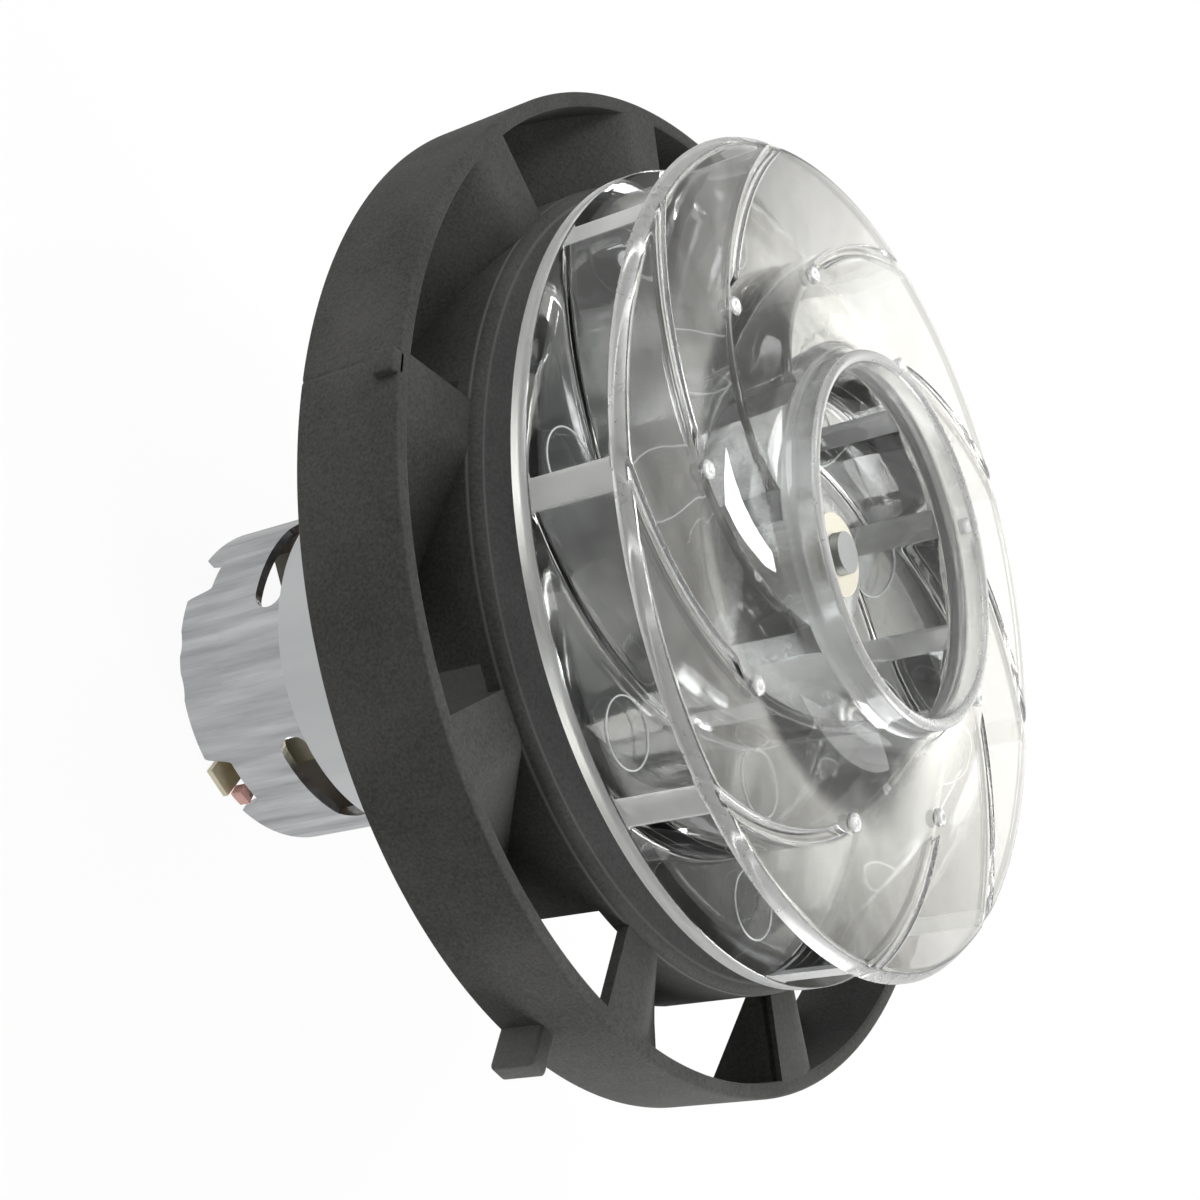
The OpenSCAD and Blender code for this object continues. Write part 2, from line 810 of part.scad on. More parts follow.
// Back plate with its hub, the curved blades and the stakes on them
module impeller_disc() {
    bore_r = bush_r + fit;
    hub_r = hub_d / 2;
    color("#dfe6e8", 0.5)
    union() {
        rotate_extrude()
            polygon([
                [bore_r, bush_bottom], [hub_r - hub_draft, bush_bottom], [hub_r, back_rear],
                [back_r, back_rear], [back_r, back_front],
                [hub_r, back_front], [hub_r - hub_draft, hub_top], [bore_r, hub_top]
            ]);
        intersection() {
            translate([0, 0, back_front - back_t / 2])
                linear_extrude(eye_front - back_front)
                    for (i = [0 : blade_count - 1])
                        rotate(blade_clock + i * 360 / blade_count)
                            blade_outline(blade_t, blade_lead, blade_tip);
            rotate_extrude()
                polygon(concat(
                    [[0, back_rear], [shroud_d, back_rear], [shroud_d, shroud_rear - fit]],
                    neck_curve(eye_r, shroud_rear - fit, neck_rise),
                    [[0, shroud_rear + neck_rise - fit]]
                ));
        }
        around(blade_count, blade_clock + blade_angle(stake_r))
            translate([stake_r, 0, 0])
                stake();
    }
}

module stake() {
    head = shroud_front + neck_height(stake_r) + fit;
    root = shroud_rear - shroud_t;
    translate([0, 0, root])
        cylinder(d = stake_d, h = head + stake_head_h / 2 - root, $fn = 32);
    translate([0, 0, head])
        cylinder(d = stake_head_d, h = stake_head_h, $fn = 32);
}

// Height of the shroud's front face above its flat, at the inner side of a head
function neck_height(r) =
    let (inner = r - stake_head_d / 2)
        inner >= neck_r ? 0
            : neck_rise * (1 - sqrt(1 - pow((neck_r - inner) / (neck_r - eye_outer), 2)));

module impeller_shroud() {
    color("#e6edef", 0.4)
    difference() {
        rotate_extrude()
            polygon(concat(
                [[shroud_d / 2, shroud_rear]],
                neck_curve(eye_r, shroud_rear, neck_rise),
                [[eye_r, eye_front], [eye_outer, eye_front]],
                [for (i = [neck_steps : -1 : 0]) neck_curve(eye_outer, shroud_front, neck_rise)[i]],
                [[shroud_d / 2 - rim_slope, shroud_front]]
            ));
        translate([0, 0, shroud_front - groove_depth])
            linear_extrude(groove_depth + cut)
                for (i = [0 : blade_count - 1])
                    rotate(blade_clock + i * 360 / blade_count) {
                        blade_outline(groove_w, groove_lead_d / 2, shroud_d);
                        rotate(blade_angle(groove_lead_d / 2))
                            translate([groove_lead_d / 2, 0])
                                circle(d = groove_w, $fn = 32);
                    }
        around(blade_count, blade_clock + blade_angle(stake_r))
            translate([stake_r, 0, shroud_rear - cut])
                cylinder(d = stake_d + 2 * fit, h = shroud_t + neck_rise + cut, $fn = 32);
    }
}

carrier();
motor_can();
flux_sleeve();
magnets();
magnet_clips();
front_bearing();
rear_bearing();
end_cap();
carbon_brushes();
brush_arms();
terminals();
terminal_insulator();
motor_screws();
shaft();
armature_core();
armature_windings();
armature_insulators();
commutator();
commutator_hub();
thrust_washers();
impeller_bush();
impeller_disc();
impeller_shroud();
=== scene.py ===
import math

import bpy
import numpy as np
from mathutils import Matrix, Vector


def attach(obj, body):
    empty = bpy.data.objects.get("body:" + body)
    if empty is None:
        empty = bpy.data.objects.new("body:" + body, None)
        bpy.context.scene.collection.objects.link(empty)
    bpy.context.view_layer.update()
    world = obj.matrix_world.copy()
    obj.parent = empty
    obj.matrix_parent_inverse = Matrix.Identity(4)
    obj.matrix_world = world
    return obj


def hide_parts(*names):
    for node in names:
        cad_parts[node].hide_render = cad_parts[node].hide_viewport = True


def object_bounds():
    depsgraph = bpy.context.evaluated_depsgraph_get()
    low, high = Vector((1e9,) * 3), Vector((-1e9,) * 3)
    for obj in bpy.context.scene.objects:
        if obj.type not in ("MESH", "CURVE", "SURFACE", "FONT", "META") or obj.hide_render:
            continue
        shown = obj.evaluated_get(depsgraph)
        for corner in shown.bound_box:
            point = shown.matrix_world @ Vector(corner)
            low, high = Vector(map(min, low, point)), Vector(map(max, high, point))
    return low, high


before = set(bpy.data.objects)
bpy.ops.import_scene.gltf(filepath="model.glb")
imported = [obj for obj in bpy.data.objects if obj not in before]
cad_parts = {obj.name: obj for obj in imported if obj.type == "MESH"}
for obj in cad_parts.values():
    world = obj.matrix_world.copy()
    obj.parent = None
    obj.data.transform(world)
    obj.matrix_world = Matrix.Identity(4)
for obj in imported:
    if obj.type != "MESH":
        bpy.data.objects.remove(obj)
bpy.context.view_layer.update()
mm = 0.001

# Carrier ring
# The black outer band of the carrier, injection moulded in glass-filled
# nylon in one piece with the vanes and the drum, with a fine matte grain.
ring_radius = 60.0
ring_wall = 1.8
ring_depth = 12.8
moulded_edge = 0.35
seam_angle = math.radians(197.6)
seam_half = 0.22
seam_depth = 0.12
# The ring's inner front edge is drawn a lighter grey by this share.
ring_edge_lightening = 0.4


def linear(hex_colour):
    """An sRGB hex colour as linear red, green, blue and an alpha of one."""
    srgb = np.array([int(hex_colour[i:i + 2], 16) / 255 for i in (1, 3, 5)])
    rgb = np.where(srgb <= 0.04045, srgb / 12.92, ((srgb + 0.055) / 1.055) ** 2.4)
    return (*rgb.tolist(), 1.0)


def add(tree, kind, inputs=None, **settings):
    """Adds a shader node, sets its properties, and sets or links its inputs."""
    node = tree.nodes.new(kind)
    for name, value in settings.items():
        setattr(node, name, value)
    for name, value in (inputs or {}).items():
        if isinstance(value, bpy.types.NodeSocket):
            tree.links.new(value, node.inputs[name])
        else:
            node.inputs[name].default_value = value
    return node


def new_material(name, **shader_values):
    """A material with a principled shader, whose plain numbers are set on its own sockets."""
    material = bpy.data.materials.new(name)
    material.use_nodes = True
    shader = material.node_tree.nodes["Principled BSDF"]
    for socket, value in shader_values.items():
        shader.inputs[socket.replace("_", " ")].default_value = value
    return material, material.node_tree, shader


def softened(corners, radius, steps=4):
    """Closed outline with each corner replaced by a parabolic arc that starts
    and ends the given radius away from it, never past the middle of a side."""
    most = 0.48
    corners = np.asarray(corners, float)
    before = np.roll(corners, 1, axis=0) - corners
    after = np.roll(corners, -1, axis=0) - corners
    reach_before = np.minimum(radius, most * np.linalg.norm(before, axis=1))[:, None]
    reach_after = np.minimum(radius, most * np.linalg.norm(after, axis=1))[:, None]
    start = corners + before / np.linalg.norm(before, axis=1, keepdims=True) * reach_before
    end = corners + after / np.linalg.norm(after, axis=1, keepdims=True) * reach_after
    t = np.linspace(0, 1, steps + 1)[None, :, None]
    arcs = (1 - t) ** 2 * start[:, None] + 2 * t * (1 - t) * corners[:, None] + t ** 2 * end[:, None]
    return arcs.reshape(-1, 2)


def grid_quads(rows, columns, wrap_rows, wrap_columns):
    """Quads between neighbouring points of a grid, joined end to end where it wraps."""
    i = np.arange(rows if wrap_rows else rows - 1)[:, None]
    j = np.arange(columns if wrap_columns else columns - 1)[None, :]
    next_i = (i + 1) % rows
    next_j = (j + 1) % columns
    corners = np.stack(np.broadcast_arrays(
        i * columns + j, i * columns + next_j, next_i * columns + next_j, next_i * columns + j), axis=-1)
    return corners.reshape(-1, 4)


def end_caps(rows, columns):
    """The first and the last row of a grid, as two faces that close its ends."""
    last = (rows - 1) * columns
    return [list(range(columns)), [last + i for i in reversed(range(columns))]]


def turned(outline, start=0.0, end=2 * math.pi, steps=256):
    """Closed outline in radius and height carried round the shaft's axis,
    right round, or from one angle to another with both ends closed."""
    full = abs(end - start) > 2 * math.pi - 1e-6
    angle = np.linspace(start, end, steps, endpoint=not full)[:, None]
    radius, height = outline[:, 0][None, :], outline[:, 1][None, :]
    points = np.stack(np.broadcast_arrays(
        radius * np.cos(angle), radius * np.sin(angle), height), axis=-1)
    count = outline.shape[0]
    faces = grid_quads(steps, count, full, True).tolist()
    if not full:
        faces += end_caps(steps, count)
    return points.reshape(-1, 3), faces


def joined(parts):
    """Points and faces of several shapes as one list of each."""
    starts = np.cumsum([0] + [len(points) for points, faces in parts])
    points = np.concatenate([points for points, faces in parts])
    faces = [[int(start) + i for i in face] for (_, part), start in zip(parts, starts) for face in part]
    return points, faces


def piece(name, shape, material, body, sharp=35.0, frost=None):
    """A mesh object in metres from points in millimetres, smooth but for edges
    sharper than the given angle, with its outside facing out. Frost, if given,
    is a share per point that a material may read."""
    points, faces = shape
    mesh = bpy.data.meshes.new(name)
    mesh.from_pydata((np.asarray(points) * mm).tolist(), [], [list(map(int, face)) for face in faces])
    mesh.validate()
    made = bpy.data.objects.new(name, mesh)
    bpy.context.scene.collection.objects.link(made)
    mesh.materials.append(material)
    bpy.context.view_layer.objects.active = made
    bpy.ops.object.select_all(action="DESELECT")
    made.select_set(True)
    bpy.ops.object.mode_set(mode="EDIT")
    bpy.ops.mesh.select_all(action="SELECT")
    bpy.ops.mesh.normals_make_consistent(inside=False)
    bpy.ops.object.mode_set(mode="OBJECT")
    mesh.polygons.foreach_set("use_smooth", np.ones(len(mesh.polygons), bool))
    mesh.set_sharp_from_angle(angle=math.radians(sharp))
    if frost is not None:
        mesh.attributes.new("frost", "FLOAT", "POINT").data.foreach_set("value", np.ravel(frost))
    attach(made, body)
    return made


def moulded_nylon():
    """Black glass-filled nylon with a spark-eroded grain: even, dull, a little lighter where dust has dried
    it, and a lighter grey where a share per point is set: painted highlights along the drum's front round,
    painted light over the whole key, and a lighter inner front edge on the ring.
    The grain is drawn coarser than the real one, so that it shows."""
    grain = 0.35
    cloud = 14.0
    material, tree, shader = new_material("black_moulded_nylon", IOR=1.53)
    place = add(tree, "ShaderNodeTexCoord").outputs["Object"]
    dust = add(tree, "ShaderNodeTexNoise", {"Vector": place, "Scale": 1 / (cloud * mm), "Detail": 5.0})
    pits = add(tree, "ShaderNodeTexNoise", {"Vector": place, "Scale": 1 / (grain * mm), "Detail": 3.0})
    mottle = add(tree, "ShaderNodeMix", {0: 0.5, 2: dust.outputs["Fac"], 3: pits.outputs["Fac"]}).outputs[0]
    tone = add(tree, "ShaderNodeValToRGB", {"Fac": mottle})
    for stop, position, colour in zip(tone.color_ramp.elements, (0.38, 0.64), ("#2c2c2b", "#474746")):
        stop.position = position
        stop.color = linear(colour)
    # Where the share is set the tone turns a lighter grey: painted highlight and painted light.
    lightened_share = add(tree, "ShaderNodeAttribute", attribute_name="frost").outputs["Fac"]
    lightened_tone = add(tree, "ShaderNodeMix", {
        0: lightened_share, 6: tone.outputs["Color"], 7: linear("#6f6f6e")}, data_type="RGBA")
    tree.links.new(lightened_tone.outputs[2], shader.inputs["Base Color"])
    gloss = add(tree, "ShaderNodeMapRange", {"Value": dust.outputs["Fac"], "To Min": 0.84, "To Max": 0.92})
    tree.links.new(gloss.outputs["Result"], shader.inputs["Roughness"])
    bump = add(tree, "ShaderNodeBump", {
        "Height": pits.outputs["Fac"], "Strength": 0.18, "Distance": 0.1 * mm})
    tree.links.new(bump.outputs["Normal"], shader.inputs["Normal"])
    return material


def band_with_seam(outline):
    """Closed outline in radius and height carried right round the shaft's axis,
    less a narrow bell-shaped dent across its outside where two mould halves met."""
    even = np.linspace(0, 2 * math.pi, 360, endpoint=False)
    across = seam_half * np.linspace(-2, 2, 9)
    angle = np.sort(np.concatenate([even, seam_angle + across / ring_radius]))[:, None]
    dent = seam_depth * np.exp(-((angle - seam_angle) * ring_radius / seam_half) ** 2)
    outside = (outline[:, 0] > ring_radius - ring_wall / 2)[None, :]
    radius = outline[:, 0][None, :] - dent * outside
    height = np.broadcast_to(outline[:, 1][None, :], radius.shape)
    points = np.stack([radius * np.cos(angle), radius * np.sin(angle), height], axis=-1)
    return points.reshape(-1, 3), grid_quads(*radius.shape, True, True).tolist()


black_nylon = moulded_nylon()
ring_inner = ring_radius - ring_wall
ring_outline = softened(
    [(ring_inner, 0), (ring_radius, 0), (ring_radius, ring_depth), (ring_inner, ring_depth)], moulded_edge)
ring_points, ring_faces = band_with_seam(ring_outline)
inner_front = np.linalg.norm(ring_outline - (ring_inner, ring_depth), axis=1) < moulded_edge / 2
ring = piece("carrier_ring", (ring_points, ring_faces), black_nylon, "frame",
             frost=np.tile(ring_edge_lightening * inner_front, len(ring_points) // len(ring_outline)))
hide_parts("carrier")

# Locating key and nub
# A block on the ring's rear edge that drops into a slot in the housing, and a
# small square nub on the front edge; both are moulded with the ring.
key_angle = math.radians(-90.0)
key_height = 4.6
key_length = 5.5
key_width = 2.7
# Painted light: the whole key is drawn lighter by this share, standing in for light that the lamps don't
# bring to it.
key_painted_light = 0.3
key_round = 0.5
nub_angle = math.radians(198.8)
nub_side = 2.6
nub_height = 1.0
nub_round = 0.25


def rounded_block(low, high, radius, angle):
    """Box from low to high, set out along the radius at an angle, whose
    rounded outline across the shaft shrinks by the radius at both ends."""
    low, high = np.array(low, float), np.array(high, float)
    centre = (low[:2] + high[:2]) / 2
    half = (high[:2] - low[:2]) / 2
    turn = np.linspace(0, math.pi / 2, 5)
    inset = np.concatenate([radius * (1 - np.sin(turn)), radius * (1 - np.cos(turn))])
    height = np.concatenate([low[2] + radius * (1 - np.cos(turn)), high[2] - radius * (1 - np.sin(turn))])
    square = np.array([(-1, -1), (1, -1), (1, 1), (-1, 1)], float)
    base = softened(square * half, radius)
    scale = 1 - inset[:, None, None] / half[None, None, :]
    flat = centre + base[None] * scale
    rows, columns = flat.shape[:2]
    x, y = flat[..., 0], flat[..., 1]
    points = np.stack([
        x * math.cos(angle) - y * math.sin(angle),
        x * math.sin(angle) + y * math.cos(angle),
        np.broadcast_to(height[:, None], x.shape)], axis=-1).reshape(-1, 3)
    faces = grid_quads(rows, columns, False, True).tolist()
    faces += end_caps(rows, columns)
    return points, faces


ring_middle = ring_radius - ring_wall / 2
key_shape = rounded_block(
    (ring_middle, -key_width / 2, 0), (ring_radius + key_height, key_width / 2, key_length),
    key_round, key_angle)
nub_shape = rounded_block(
    (ring_middle, -nub_side / 2, ring_depth - nub_side),
    (ring_radius + nub_height, nub_side / 2, ring_depth), nub_round, nub_angle)
# The key's share makes it lighter all over, as painted light; the nub gets none.
key_painted_light_share = np.full(len(key_shape[0]), key_painted_light)
key = piece("carrier_key_and_nub", joined([key_shape, nub_shape]), black_nylon, "frame",
            frost=np.pad(key_painted_light_share, (0, len(nub_shape[0]))))
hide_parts("carrier")

# Drum
# The closed cup inside the ring: its front disc carries the motor, and behind
# each vane its wall is broken by a window that lets the air in to the motor.
drum_radius = 48.5
drum_wall = 1.8
disc_front = 13.8
disc_thickness = 2.4
drum_round = 1.2
boss_hole = 9.05
window_top = ring_depth - 2.3
window_angle = 25.0
window_lead = 3.5
vane_count = 10
vane_clock = -90.7
vane_flat = 6.9
vane_ramp = 20.5
vane_thickness = 1.3
collar_inner = 21.05
collar_wall = 1.8
collar_depth = 5.0
rib_thickness = 1.6
rib_depth = 3.0
rib_round = 0.3
into_disc = 1.0
# Painted highlight: lighter lines where the drum's front round starts and ends stand in for these edges
# catching the light.
round_start_painted_highlight = 0.8
round_end_painted_highlight = 0.5

drum_inner = drum_radius - drum_wall
motor_front = disc_front - disc_thickness
vane_pitch = 360 / vane_count
vane_middle = (drum_radius + ring_inner) / 2
ramp_fall = (ring_depth - vane_thickness) / (2 * vane_middle * math.sin(math.radians(vane_ramp / 2)))


def wall_foot(past_lead):
    """Height of the wall's rear edge at an angle past a vane's leading edge: zero
    between the windows; in a window, its front edge or the ramp, if that is lower."""
    past_middle = past_lead - vane_flat - vane_ramp / 2
    ramp = ring_depth / 2 - ramp_fall * drum_radius * np.sin(np.radians(past_middle))
    inside = (past_lead > -window_lead) & (past_lead < window_angle - window_lead)
    return np.where(inside, np.minimum(window_top, ramp), 0.0)


def even_steps(width, count):
    """Angles across a width: even steps, and one more a sliver inside each end."""
    sliver = 0.002
    margin = 0.5
    return np.concatenate([[sliver], np.linspace(margin, width - margin, count), [width - sliver]])


def drum_cup():
    """Section of the cup in radius and height carried right round the shaft's axis, with the wall's rear edge
    lifted where a window opens. The share of painted highlight is high where the front round starts and ends,
    so that lighter lines there stand in for edges that catch the light."""
    edge = moulded_edge
    opening = even_steps(window_angle, 30)
    closed = window_angle + even_steps(vane_pitch - window_angle, 12)
    past_lead = np.concatenate([opening, closed]) - window_lead
    turn = np.linspace(0, math.pi / 2, 9)
    foot = wall_foot(past_lead)[:, None]
    level = np.zeros_like(foot)
    before_round = [
        boss_hole, boss_hole, drum_inner, drum_inner, drum_inner + edge, drum_radius - edge,
        drum_radius, drum_radius]
    radius = np.concatenate([
        before_round, drum_radius - drum_round * (1 - np.cos(turn)), [drum_radius - drum_round - edge]])
    height = np.concatenate([
        level + disc_front, level + motor_front, level + motor_front, foot + edge, foot, foot, foot + edge,
        level + disc_front - drum_round - edge, level + disc_front - drum_round * (1 - np.sin(turn)),
        level + disc_front], axis=1)
    highlight_share = np.concatenate([
        np.zeros(len(before_round)), [round_start_painted_highlight], np.zeros(len(turn) - 2), [round_end_painted_highlight, 0.0]])
    lead = vane_clock + vane_pitch * np.arange(vane_count)[:, None]
    angle = np.radians(lead + past_lead[None, :]).reshape(-1, 1)
    height = np.tile(height, (vane_count, 1))
    points = np.stack([radius * np.cos(angle), radius * np.sin(angle), height], axis=-1)
    return points.reshape(-1, 3), grid_quads(*height.shape, True, True).tolist(), np.tile(highlight_share, len(height))


cup_points, cup_faces, cup_painted_highlight = drum_cup()
drum_parts = [(cup_points, cup_faces)]
collar_outline = softened(
    [(collar_inner, motor_front - collar_depth), (collar_inner + collar_wall, motor_front - collar_depth),
     (collar_inner + collar_wall, motor_front + into_disc), (collar_inner, motor_front + into_disc)],
    moulded_edge)
drum_parts.append(turned(collar_outline, steps=180))
drum_parts += [
    rounded_block(
        (collar_inner + collar_wall / 2, -rib_thickness / 2, motor_front - rib_depth),
        (drum_inner + drum_wall / 2, rib_thickness / 2, motor_front + into_disc), rib_round,
        math.radians(vane_clock + (i + 0.5) * vane_pitch))
    for i in range(vane_count)]
drum_points, drum_faces = joined(drum_parts)
# The cup's share draws the painted highlights on its front round.
drum = piece("carrier_drum", (drum_points, drum_faces), black_nylon, "frame",
             frost=np.pad(cup_painted_highlight, (0, len(drum_points) - len(cup_painted_highlight))))
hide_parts("carrier")

# Guide vanes and gussets
# Ten moulded vanes between drum and ring. Each has a short flat front and a ramp
# that falls to the rear, and a gusset braces every second one's leading edge.
vane_bend = 0.5
vane_round = 0.3
vane_above_rear = 0.05
vane_below_front = 0.01
gusset_thickness = 1.3
gusset_at_ring = 9.7
gusset_at_drum = 3.4

vane_inner = drum_radius - drum_wall / 2
vane_outer = ring_inner + ring_wall / 2


def vane(first):
    """Rounded section across the passage carried along a path that runs level,
    bends over a short arc and then falls at a steady slope to the rear."""
    angle = np.linspace(0, vane_flat + vane_ramp, 61)
    slope = (ring_depth - vane_thickness) / vane_ramp
    past = angle - vane_flat
    fall = slope * vane_bend * np.logaddexp(0, past / vane_bend)
    fall *= (ring_depth - vane_thickness) / fall[-1]
    height = ring_depth - vane_thickness / 2 - fall + fall[0]
    lean = np.arctan2(np.gradient(height), np.gradient(np.radians(angle)) * vane_middle)[:, None]
    section = softened([
        (vane_inner, -vane_thickness / 2), (vane_outer, -vane_thickness / 2),
        (vane_outer, vane_thickness / 2), (vane_inner, vane_thickness / 2)], vane_round)
    radius, across = section[:, 0][None, :], section[:, 1][None, :]
    turn = np.radians(first + angle)[:, None] - across * np.sin(lean) / vane_middle
    rise = height[:, None] + across * np.cos(lean)
    rise = np.clip(rise, vane_above_rear, ring_depth - vane_below_front)
    points = np.stack(np.broadcast_arrays(radius * np.cos(turn), radius * np.sin(turn), rise), axis=-1)
    rows, columns = points.shape[:2]
    faces = grid_quads(rows, columns, False, True).tolist()
    faces += end_caps(rows, columns)
    return points.reshape(-1, 3), faces


def gusset(first):
    """Web under a vane's leading edge: its outline in radius and height is
    carried over the angle that its thickness takes up."""
    top = ring_depth - vane_thickness / 2
    outline = np.array([
        (vane_inner, top), (vane_outer, top), (vane_outer, ring_depth - gusset_at_ring),
        (ring_inner, ring_depth - gusset_at_ring), (drum_radius, ring_depth - gusset_at_drum),
        (vane_inner, ring_depth - gusset_at_drum)])
    return turned(outline, math.radians(first),
                  math.radians(first) + gusset_thickness / vane_middle, 4)


vane_starts = [vane_clock + i * vane_pitch for i in range(vane_count)]
vane_parts = [vane(start) for start in vane_starts] + [gusset(start) for start in vane_starts[1::2]]
vanes = piece("carrier_guide_vanes", joined(vane_parts), black_nylon, "frame")
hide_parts("carrier")

# Motor can and flux sleeve
# The can is deep-drawn steel with a dull zinc plating, so its surface has soft
# streaks along the shaft; the sleeve is rolled from the same strip and is smoother.


def streaked_metal(name, light, dark, roughness, wide, long, relief):
    """Drawn, ground or turned metal: two tones in streaks of a width and a length
    in millimetres, the length along the shaft, with a slight relief."""
    material, tree, shader = new_material(name, Metallic=1.0)
    place = add(tree, "ShaderNodeTexCoord").outputs["Object"]
    stretch = add(tree, "ShaderNodeMapping", {
        "Vector": place, "Scale": (1 / (wide * mm), 1 / (wide * mm), 1 / (long * mm))})
    streaks = add(tree, "ShaderNodeTexNoise", {
        "Vector": stretch.outputs["Vector"], "Scale": 1.0, "Detail": 4.0, "Roughness": 0.6})
    tone = add(tree, "ShaderNodeValToRGB", {"Fac": streaks.outputs["Fac"]})
    for stop, position, colour in zip(tone.color_ramp.elements, (0.3, 0.7), (dark, light)):
        stop.position = position
        stop.color = linear(colour)
    tree.links.new(tone.outputs["Color"], shader.inputs["Base Color"])
    haze = add(tree, "ShaderNodeMapRange", {
        "Value": streaks.outputs["Fac"], "To Min": roughness - 0.06, "To Max": roughness + 0.08})
    tree.links.new(haze.outputs["Result"], shader.inputs["Roughness"])
    bump = add(tree, "ShaderNodeBump", {
        "Height": streaks.outputs["Fac"], "Strength": relief, "Distance": 0.2 * mm})
    tree.links.new(bump.outputs["Normal"], shader.inputs["Normal"])
    return material


def dress(node, material):
    """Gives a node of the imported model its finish."""
    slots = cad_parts[node].data.materials
    slots.clear()
    slots.append(material)


def painted_shade_front(material):
    """Paints shade over the front of a plated piece from one height up: a dull dark grey coat with a fine
    mottle stands in for the shade that falls there.
    """
    painted_shade_edge = -17.0
    shade_mottle_size = 0.5
    tree = material.node_tree
    plated = tree.nodes["Principled BSDF"]
    place = add(tree, "ShaderNodeTexCoord").outputs["Object"]
    height = add(tree, "ShaderNodeSeparateXYZ", {"Vector": place}).outputs["Z"]
    shade_mottle = add(tree, "ShaderNodeTexNoise", {"Vector": place, "Scale": 1 / (shade_mottle_size * mm), "Detail": 3.0})
    shade = add(tree, "ShaderNodeValToRGB", {"Fac": shade_mottle.outputs["Fac"]})
    for stop, colour in zip(shade.color_ramp.elements, ("#363636", "#464646")):
        stop.color = linear(colour)
    # Painted shade: the dark grey coat that stands in for the shade on the sleeve's front.
    painted_shade = add(tree, "ShaderNodeBsdfPrincipled", {"Base Color": shade.outputs["Color"], "Roughness": 0.7})
    in_painted_shade = add(tree, "ShaderNodeMath", {0: height, 1: painted_shade_edge * mm}, operation="GREATER_THAN")
    both = add(tree, "ShaderNodeMixShader", {
        "Fac": in_painted_shade.outputs[0], 1: plated.outputs["BSDF"], 2: painted_shade.outputs["BSDF"]})
    tree.links.new(both.outputs["Shader"], tree.nodes["Material Output"].inputs["Surface"])
    return material


dress("motor_can", streaked_metal(
    "zinc_plated_can", "#e8e9ea", "#b0b2b4", roughness=0.36, wide=2.2, long=26.0, relief=0.3))
# The sleeve's front is drawn dark grey: painted shade, where it lies in the drum's shadow.
dress("flux_sleeve", painted_shade_front(streaked_metal(
    "zinc_plated_sleeve", "#e4e5e6", "#dadcdd", roughness=0.45, wide=6.0, long=40.0, relief=0.06)))

# Magnets, clips and bearings
# Pressed ferrite, spring steel and oil-filled sintered bronze inside the can;
# only glimpses of them show through the vents.


def grained(name, light, dark, grain, **shader_values):
    """A plain finish with a fine mottle between two tones and a slight bump."""
    material, tree, shader = new_material(name, **shader_values)
    place = add(tree, "ShaderNodeTexCoord").outputs["Object"]
    mottle = add(tree, "ShaderNodeTexNoise", {"Vector": place, "Scale": 1 / (grain * mm), "Detail": 4.0})
    tone = add(tree, "ShaderNodeValToRGB", {"Fac": mottle.outputs["Fac"]})
    for stop, position, colour in zip(tone.color_ramp.elements, (0.3, 0.7), (dark, light)):
        stop.position = position
        stop.color = linear(colour)
    tree.links.new(tone.outputs["Color"], shader.inputs["Base Color"])
    bump = add(tree, "ShaderNodeBump", {
        "Height": mottle.outputs["Fac"], "Strength": 0.15, "Distance": 0.1 * mm})
    tree.links.new(bump.outputs["Normal"], shader.inputs["Normal"])
    return material


bronze = grained("sintered_bronze", "#a07a4c", "#7f5f3a", grain=0.4, Metallic=1.0, Roughness=0.5)
dress("magnets", grained("pressed_ferrite", "#3d3e40", "#333436", grain=0.6, Roughness=0.7))
dress("magnet_clips", grained("spring_steel", "#9a9da0", "#888b8e", grain=0.8, Metallic=1.0, Roughness=0.4))
dress("front_bearing", bronze)
dress("rear_bearing", bronze)

# Rear cap, brushes and terminals
# A pale nylon cap closes the can; carbon brushes sit on copper leaf arms, and
# stamped brass tabs come out through two of the notches.
pale_nylon = grained("pale_nylon", "#dedbd0", "#d2cfc3", grain=1.5, Roughness=0.5, IOR=1.53)
dress("end_cap", pale_nylon)
dress("carbon_brushes", grained("pressed_carbon", "#2b2b2c", "#202021", grain=0.3, Roughness=0.6))
dress("brush_arms", grained("copper_leaf", "#bd7b4c", "#a9683c", grain=1.0, Metallic=1.0, Roughness=0.35))
dress("terminals", grained("stamped_brass", "#f2ecd6", "#e8e0c4", grain=1.0, Metallic=1.0, Roughness=0.5))
dress("terminal_insulator", grained("red_insulator", "#d3a9a2", "#c99c95", grain=0.8, Roughness=0.5))
dress("motor_screws", streaked_metal(
    "zinc_plated_screws", "#b0b2b4", "#96989a", roughness=0.35, wide=0.5, long=0.5, relief=0.1))

# Armature and shaft
# Ground steel shaft with a laminated core, enamelled copper windings and a
# copper commutator, all turning inside the can.
dress("shaft", streaked_metal(
    "ground_shaft", "#a3a5a7", "#8f9193", roughness=0.42, wide=8.0, long=0.25, relief=0.05))
dress("armature_core", streaked_metal(
    "laminated_core", "#8a8d90", "#6c6f72", roughness=0.45, wide=12.0, long=0.5, relief=0.3))
dress("armature_windings", streaked_metal(
    "enamelled_copper", "#b8713c", "#8d4f24", roughness=0.35, wide=6.0, long=0.6, relief=0.4))
dress("armature_insulators", grained("green_fibre", "#4d7a5d", "#3f6a4e", grain=0.8, Roughness=0.6))
dress("commutator", grained(
    "commutator_copper", "#c07c52", "#a96740", grain=0.6, Metallic=1.0, Roughness=0.3))
dress("commutator_hub", grained("brown_phenolic", "#5d3d28", "#4c301e", grain=0.8, Roughness=0.5))
dress("thrust_washers", pale_nylon)

# Impeller bush
# A turned brass bush, pressed on the shaft and moulded into the impeller's hub.
dress("impeller_bush", streaked_metal(
    "turned_brass", "#d8d5c9", "#c9c5b7", roughness=0.4, wide=9.0, long=0.3, relief=0.08))

